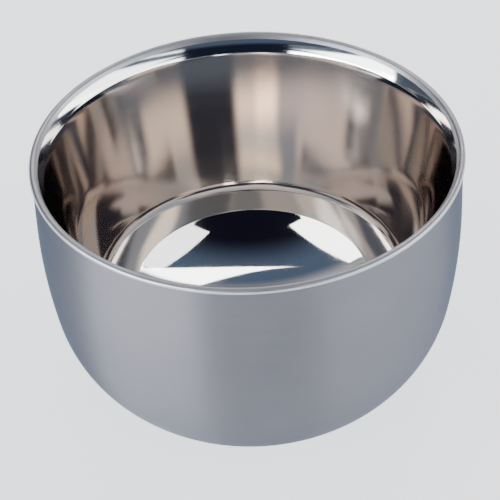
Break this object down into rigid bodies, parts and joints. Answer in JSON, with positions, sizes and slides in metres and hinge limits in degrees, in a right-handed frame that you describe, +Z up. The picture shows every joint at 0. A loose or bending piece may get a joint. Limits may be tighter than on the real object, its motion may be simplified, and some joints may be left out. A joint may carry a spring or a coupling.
{
  "type": "shaving bowl",
  "caption": "Double-wall stainless steel shaving bowl with a satin outside, a polished flared mouth with a rolled rim, and a dished mirror floor for working up lather.",
  "frame": {"origin": "middle of the resting ring, on the surface that the bowl stands on", "axes": "+Z up along the bowl's axis, towards its mouth; X and Y are any two directions across it, because the bowl is round"},
  "size_m": [0.1, 0.1, 0.061],
  "materials": {
    "liner_steel": "mirror polish",
    "shell_steel": "fine satin",
    "filler": "dull, as cast"
  },
  "bodies": {
    "root": {"inner_liner": "liner_steel", "outer_shell": "shell_steel", "rim_seal": "filler", "vent_plug": "filler"}
  },
  "joints": []
}
